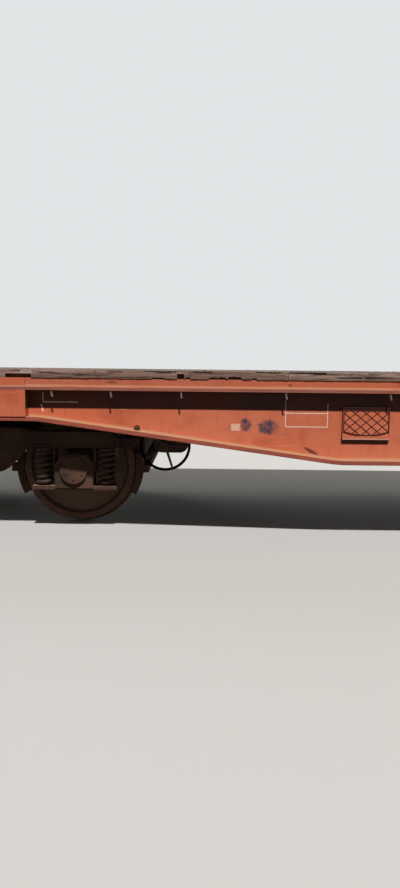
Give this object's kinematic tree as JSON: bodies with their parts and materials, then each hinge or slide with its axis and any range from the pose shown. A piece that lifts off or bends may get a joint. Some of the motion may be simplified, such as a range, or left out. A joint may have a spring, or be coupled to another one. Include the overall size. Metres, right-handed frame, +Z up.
{
  "type": "bogie flat wagon, empty",
  "caption": "Bogie flat wagon with a plank floor, fish-belly side sills, drop end flaps, buffers, screw couplings and sprung bogies that turn and roll.",
  "frame": {"origin": "middle of the wagon, at the lowest point of the wheel flanges, 28 mm below the rail's top", "axes": "+X along the wagon towards end b, +Z up"},
  "size_m": [19.8996, 2.76, 1.7858],
  "materials": {
    "sill_paint": "oxide red paint, faded and rusting",
    "flap_paint": "oxide red paint, faded and rusting",
    "underframe_paint": "dull red-brown paint under brake dust",
    "floor_planks": "weathered grey pine",
    "edge_wood": "weathered grey-brown pine",
    "bare_fittings": "bare steel, dull",
    "buffer_paint": "dull red-brown paint",
    "buffer_steel": "greased bare steel",
    "forged_steel": "dark rusty forging",
    "label_steel": "dark painted steel",
    "handwheel_iron": "dark rusty iron",
    "brake_gear_paint": "dark paint under dust",
    "bogie_steel": "brown-black paint under brake dust",
    "bogie_castings": "rusty cast iron",
    "spring_steel": "rusty spring steel",
    "axle_steel": "rusty steel",
    "wheel_steel": "rusty steel, dull tread"
  },
  "bodies": {
    "wagon": {"side_sill_left": "sill_paint", "side_sill_right": "sill_paint", "sill_end_boxes": "sill_paint", "edge_channels": "sill_paint", "floor_stringers": "underframe_paint", "centre_sill": "underframe_paint", "cross_bearers": "underframe_paint", "bolster_a": "underframe_paint", "bolster_b": "underframe_paint", "headstock_a": "sill_paint", "headstock_b": "sill_paint", "deck": "floor_planks", "edge_planks": "edge_wood", "end_rails": "sill_paint", "container_spigots": "bare_fittings", "buffer_housings": "buffer_paint", "buffer_heads": "buffer_steel", "draw_hooks": "forged_steel", "screw_couplings": "forged_steel", "corner_steps": "underframe_paint", "grab_rails": "underframe_paint", "rope_hooks": "bare_fittings", "label_holders": "label_steel", "label_grilles": "label_steel", "handwheels": "handwheel_iron", "handbrake_shaft": "handwheel_iron", "air_reservoir": "brake_gear_paint", "brake_cylinder": "brake_gear_paint", "brake_levers": "forged_steel", "brake_rods": "forged_steel", "rod_hangers": "underframe_paint", "brake_valve": "brake_gear_paint", "brake_pipe": "brake_gear_paint"},
    "end_flap_a": {"end_flap_a": "flap_paint"},
    "end_flap_b": {"end_flap_b": "flap_paint"},
    "bogie_a": {"bogie_a_frame": "bogie_steel", "bogie_a_axleboxes": "bogie_castings", "bogie_a_springs": "spring_steel", "bogie_a_brakes": "bogie_castings"},
    "bogie_b": {"bogie_b_frame": "bogie_steel", "bogie_b_axleboxes": "bogie_castings", "bogie_b_springs": "spring_steel", "bogie_b_brakes": "bogie_castings"},
    "wheelset_1": {"wheelset_1_axle": "axle_steel", "wheelset_1_wheels": "wheel_steel"},
    "wheelset_2": {"wheelset_2_axle": "axle_steel", "wheelset_2_wheels": "wheel_steel"},
    "wheelset_3": {"wheelset_3_axle": "axle_steel", "wheelset_3_wheels": "wheel_steel"},
    "wheelset_4": {"wheelset_4_axle": "axle_steel", "wheelset_4_wheels": "wheel_steel"}
  },
  "joints": [
    {"name": "bogie_a_turn", "type": "hinge", "parent": "wagon", "child": "bogie_a", "pos_m": [-7.43, 0, 0.953], "axis": [0, 0, 1], "range_deg": [-6, 6]},
    {"name": "end_flap_a_hinge", "type": "hinge", "parent": "wagon", "child": "end_flap_a", "pos_m": [-9.358, 0, 1.27], "axis": [0, -1, 0], "range_deg": [0, 90]},
    {"name": "bogie_b_turn", "type": "hinge", "parent": "wagon", "child": "bogie_b", "pos_m": [7.43, 0, 0.953], "axis": [0, 0, 1], "range_deg": [-6, 6]},
    {"name": "end_flap_b_hinge", "type": "hinge", "parent": "wagon", "child": "end_flap_b", "pos_m": [9.358, 0, 1.27], "axis": [0, 1, 0], "range_deg": [0, 90]},
    {"name": "wheelset_1_roll", "type": "hinge", "parent": "bogie_a", "child": "wheelset_1", "pos_m": [-8.33, 0, 0.488], "axis": [0, 1, 0], "continuous": true},
    {"name": "wheelset_2_roll", "type": "hinge", "parent": "bogie_a", "child": "wheelset_2", "pos_m": [-6.53, 0, 0.488], "axis": [0, 1, 0], "continuous": true},
    {"name": "wheelset_3_roll", "type": "hinge", "parent": "bogie_b", "child": "wheelset_3", "pos_m": [6.53, 0, 0.488], "axis": [0, 1, 0], "continuous": true},
    {"name": "wheelset_4_roll", "type": "hinge", "parent": "bogie_b", "child": "wheelset_4", "pos_m": [8.33, 0, 0.488], "axis": [0, 1, 0], "continuous": true}
  ]
}
